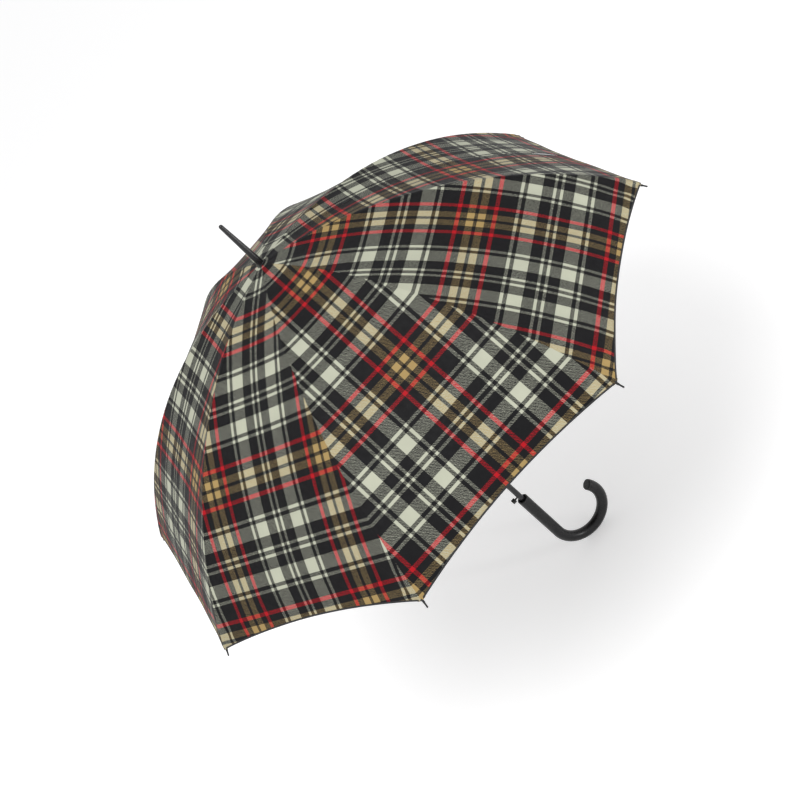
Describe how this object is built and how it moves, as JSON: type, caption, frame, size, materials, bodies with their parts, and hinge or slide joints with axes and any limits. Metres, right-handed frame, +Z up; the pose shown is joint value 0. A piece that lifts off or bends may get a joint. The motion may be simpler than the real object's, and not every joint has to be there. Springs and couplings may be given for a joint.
{
  "type": "stick umbrella",
  "caption": "Open automatic stick umbrella with a flat-panelled scalloped tartan canopy on curved steel ribs, a tapered ferrule, a tube shaft and a crook handle.",
  "frame": {"origin": "on the shaft's axis, halfway along the straight hand grip, where the hand holds it", "axes": "+Z up the shaft towards the ferrule; +X the way the crook curls; push button on the -X side"},
  "size_m": [0.9146, 0.9146, 0.909],
  "materials": {
    "shaft_metal": "black satin enamel on steel tube",
    "rib_metal": "black enamelled pressed steel channel",
    "tip_metal": "black enamel",
    "ferrule_plastic": "black, semi-gloss",
    "hub_plastic": "black moulded",
    "bright_wire": "plain steel wire",
    "grip_plastic": "black, soft satin",
    "button_plastic": "black moulded",
    "canopy_cloth": "woven polyester, black, red, tan and ivory tartan with a twill texture"
  },
  "bodies": {
    "root": {"shaft": "shaft_metal", "ferrule": "ferrule_plastic", "crown_cap": "ferrule_plastic", "crown_patch": "canopy_cloth", "notch": "hub_plastic", "notch_wire": "bright_wire", "top_stop": "bright_wire", "drive_spring": "bright_wire", "spring_seat": "bright_wire", "handle": "grip_plastic", "crook_cap": "grip_plastic", "button_spring": "bright_wire"},
    "push_button": {"push_button": "button_plastic", "catch_hook": "bright_wire"},
    "runner": {"runner": "hub_plastic", "runner_wire": "bright_wire", "runner_pin": "bright_wire"},
    "rib_1": {"rib_inner_1": "rib_metal", "canopy_1": "canopy_cloth"},
    "rib_end_1": {"rib_outer_1": "rib_metal", "rib_tip_1": "tip_metal"},
    "stretcher_1": {"stretcher_1": "rib_metal"},
    "rib_2": {"rib_inner_2": "rib_metal", "canopy_2": "canopy_cloth"},
    "rib_end_2": {"rib_outer_2": "rib_metal", "rib_tip_2": "tip_metal", "tie_strap": "canopy_cloth", "strap_snap": "bright_wire"},
    "stretcher_2": {"stretcher_2": "rib_metal"},
    "rib_3": {"rib_inner_3": "rib_metal", "canopy_3": "canopy_cloth"},
    "rib_end_3": {"rib_outer_3": "rib_metal", "rib_tip_3": "tip_metal"},
    "stretcher_3": {"stretcher_3": "rib_metal"},
    "rib_4": {"rib_inner_4": "rib_metal", "canopy_4": "canopy_cloth"},
    "rib_end_4": {"rib_outer_4": "rib_metal", "rib_tip_4": "tip_metal"},
    "stretcher_4": {"stretcher_4": "rib_metal"},
    "rib_5": {"rib_inner_5": "rib_metal", "canopy_5": "canopy_cloth"},
    "rib_end_5": {"rib_outer_5": "rib_metal", "rib_tip_5": "tip_metal"},
    "stretcher_5": {"stretcher_5": "rib_metal"},
    "rib_6": {"rib_inner_6": "rib_metal", "canopy_6": "canopy_cloth"},
    "rib_end_6": {"rib_outer_6": "rib_metal", "rib_tip_6": "tip_metal"},
    "stretcher_6": {"stretcher_6": "rib_metal"},
    "rib_7": {"rib_inner_7": "rib_metal", "canopy_7": "canopy_cloth"},
    "rib_end_7": {"rib_outer_7": "rib_metal", "rib_tip_7": "tip_metal"},
    "stretcher_7": {"stretcher_7": "rib_metal"},
    "rib_8": {"rib_inner_8": "rib_metal", "canopy_8": "canopy_cloth"},
    "rib_end_8": {"rib_outer_8": "rib_metal", "rib_tip_8": "tip_metal"},
    "stretcher_8": {"stretcher_8": "rib_metal"}
  },
  "joints": [
    {"name": "open_close", "type": "hinge", "parent": "root", "child": "rib_1", "pos_m": [0.00831, 0.00344, 0.7015], "axis": [-0.3827, 0.9239, 0], "range_deg": [0, 71.65], "stiffness_Nm_per_rad": 3, "springref_deg": -68.75, "deforming": ["drive_spring", "canopy_1"]},
    {"name": "rib_2_hinge", "type": "hinge", "parent": "root", "child": "rib_2", "pos_m": [0.00344, 0.00831, 0.7015], "axis": [-0.9239, 0.3827, 0], "range_deg": [0, 71.65], "deforming": ["canopy_2"]},
    {"name": "rib_3_hinge", "type": "hinge", "parent": "root", "child": "rib_3", "pos_m": [-0.00344, 0.00831, 0.7015], "axis": [-0.9239, -0.3827, 0], "range_deg": [0, 71.65], "deforming": ["canopy_3"]},
    {"name": "rib_4_hinge", "type": "hinge", "parent": "root", "child": "rib_4", "pos_m": [-0.00831, 0.00344, 0.7015], "axis": [-0.3827, -0.9239, 0], "range_deg": [0, 71.65], "deforming": ["canopy_4"]},
    {"name": "rib_5_hinge", "type": "hinge", "parent": "root", "child": "rib_5", "pos_m": [-0.00831, -0.00344, 0.7015], "axis": [0.3827, -0.9239, 0], "range_deg": [0, 71.65], "deforming": ["canopy_5"]},
    {"name": "rib_6_hinge", "type": "hinge", "parent": "root", "child": "rib_6", "pos_m": [-0.00344, -0.00831, 0.7015], "axis": [0.9239, -0.3827, 0], "range_deg": [0, 71.65], "deforming": ["canopy_6"]},
    {"name": "rib_7_hinge", "type": "hinge", "parent": "root", "child": "rib_7", "pos_m": [0.00344, -0.00831, 0.7015], "axis": [0.9239, 0.3827, 0], "range_deg": [0, 71.65], "deforming": ["canopy_7"]},
    {"name": "rib_8_hinge", "type": "hinge", "parent": "root", "child": "rib_8", "pos_m": [0.00831, -0.00344, 0.7015], "axis": [0.3827, 0.9239, 0], "range_deg": [0, 71.65], "deforming": ["canopy_8"]},
    {"name": "rib_1_flex", "type": "hinge", "parent": "rib_1", "child": "rib_end_1", "pos_m": [0.25784, 0.1068, 0.6205], "axis": [-0.3827, 0.9239, 0], "range_deg": [-24.51, 0]},
    {"name": "rib_2_flex", "type": "hinge", "parent": "rib_2", "child": "rib_end_2", "pos_m": [0.1068, 0.25784, 0.6205], "axis": [-0.9239, 0.3827, 0], "range_deg": [-24.51, 0]},
    {"name": "rib_3_flex", "type": "hinge", "parent": "rib_3", "child": "rib_end_3", "pos_m": [-0.1068, 0.25784, 0.6205], "axis": [-0.9239, -0.3827, 0], "range_deg": [-24.51, 0]},
    {"name": "rib_4_flex", "type": "hinge", "parent": "rib_4", "child": "rib_end_4", "pos_m": [-0.25784, 0.1068, 0.6205], "axis": [-0.3827, -0.9239, 0], "range_deg": [-24.51, 0]},
    {"name": "rib_5_flex", "type": "hinge", "parent": "rib_5", "child": "rib_end_5", "pos_m": [-0.25784, -0.1068, 0.6205], "axis": [0.3827, -0.9239, 0], "range_deg": [-24.51, 0]},
    {"name": "rib_6_flex", "type": "hinge", "parent": "rib_6", "child": "rib_end_6", "pos_m": [-0.1068, -0.25784, 0.6205], "axis": [0.9239, -0.3827, 0], "range_deg": [-24.51, 0]},
    {"name": "rib_7_flex", "type": "hinge", "parent": "rib_7", "child": "rib_end_7", "pos_m": [0.1068, -0.25784, 0.6205], "axis": [0.9239, 0.3827, 0], "range_deg": [-24.51, 0]},
    {"name": "rib_8_flex", "type": "hinge", "parent": "rib_8", "child": "rib_end_8", "pos_m": [0.25784, -0.1068, 0.6205], "axis": [0.3827, 0.9239, 0], "range_deg": [-24.51, 0]},
    {"name": "stretcher_1_hinge", "type": "hinge", "parent": "rib_1", "child": "stretcher_1", "pos_m": [0.25517, 0.10569, 0.61547], "axis": [-0.3827, 0.9239, 0], "range_deg": [-143.31, 0]},
    {"name": "stretcher_2_hinge", "type": "hinge", "parent": "rib_2", "child": "stretcher_2", "pos_m": [0.10569, 0.25517, 0.61547], "axis": [-0.9239, 0.3827, 0], "range_deg": [-143.31, 0]},
    {"name": "stretcher_3_hinge", "type": "hinge", "parent": "rib_3", "child": "stretcher_3", "pos_m": [-0.10569, 0.25517, 0.61547], "axis": [-0.9239, -0.3827, 0], "range_deg": [-143.31, 0]},
    {"name": "stretcher_4_hinge", "type": "hinge", "parent": "rib_4", "child": "stretcher_4", "pos_m": [-0.25517, 0.10569, 0.61547], "axis": [-0.3827, -0.9239, 0], "range_deg": [-143.31, 0]},
    {"name": "stretcher_5_hinge", "type": "hinge", "parent": "rib_5", "child": "stretcher_5", "pos_m": [-0.25517, -0.10569, 0.61547], "axis": [0.3827, -0.9239, 0], "range_deg": [-143.31, 0]},
    {"name": "stretcher_6_hinge", "type": "hinge", "parent": "rib_6", "child": "stretcher_6", "pos_m": [-0.10569, -0.25517, 0.61547], "axis": [0.9239, -0.3827, 0], "range_deg": [-143.31, 0]},
    {"name": "stretcher_7_hinge", "type": "hinge", "parent": "rib_7", "child": "stretcher_7", "pos_m": [0.10569, -0.25517, 0.61547], "axis": [0.9239, 0.3827, 0], "range_deg": [-143.31, 0]},
    {"name": "stretcher_8_hinge", "type": "hinge", "parent": "rib_8", "child": "stretcher_8", "pos_m": [0.25517, -0.10569, 0.61547], "axis": [0.3827, 0.9239, 0], "range_deg": [-143.31, 0]},
    {"name": "runner_hinge", "type": "hinge", "parent": "stretcher_1", "child": "runner", "pos_m": [0.00831, 0.00344, 0.52944], "axis": [-0.3827, 0.9239, 0], "range_deg": [0, 71.66]},
    {"name": "button_press", "type": "slide", "parent": "root", "child": "push_button", "axis": [1, 0, 0], "range_m": [0, 0.003], "stiffness_N_per_m": 400, "springref_m": -0.001, "deforming": ["button_spring"]}
  ],
  "couplings": [
    {"joint": "rib_2_hinge", "follows": "open_close", "ratio": 1},
    {"joint": "rib_3_hinge", "follows": "open_close", "ratio": 1},
    {"joint": "rib_4_hinge", "follows": "open_close", "ratio": 1},
    {"joint": "rib_5_hinge", "follows": "open_close", "ratio": 1},
    {"joint": "rib_6_hinge", "follows": "open_close", "ratio": 1},
    {"joint": "rib_7_hinge", "follows": "open_close", "ratio": 1},
    {"joint": "rib_8_hinge", "follows": "open_close", "ratio": 1},
    {"joint": "rib_1_flex", "follows": "open_close", "ratio": -0.34193},
    {"joint": "rib_2_flex", "follows": "open_close", "ratio": -0.34193},
    {"joint": "rib_3_flex", "follows": "open_close", "ratio": -0.34193},
    {"joint": "rib_4_flex", "follows": "open_close", "ratio": -0.34193},
    {"joint": "rib_5_flex", "follows": "open_close", "ratio": -0.34193},
    {"joint": "rib_6_flex", "follows": "open_close", "ratio": -0.34193},
    {"joint": "rib_7_flex", "follows": "open_close", "ratio": -0.34193},
    {"joint": "rib_8_flex", "follows": "open_close", "ratio": -0.34193},
    {"joint": "stretcher_1_hinge", "follows": "open_close", "ratio": -2},
    {"joint": "stretcher_2_hinge", "follows": "open_close", "ratio": -2},
    {"joint": "stretcher_3_hinge", "follows": "open_close", "ratio": -2},
    {"joint": "stretcher_4_hinge", "follows": "open_close", "ratio": -2},
    {"joint": "stretcher_5_hinge", "follows": "open_close", "ratio": -2},
    {"joint": "stretcher_6_hinge", "follows": "open_close", "ratio": -2},
    {"joint": "stretcher_7_hinge", "follows": "open_close", "ratio": -2},
    {"joint": "stretcher_8_hinge", "follows": "open_close", "ratio": -2},
    {"joint": "runner_hinge", "follows": "open_close", "ratio": 1}
  ]
}
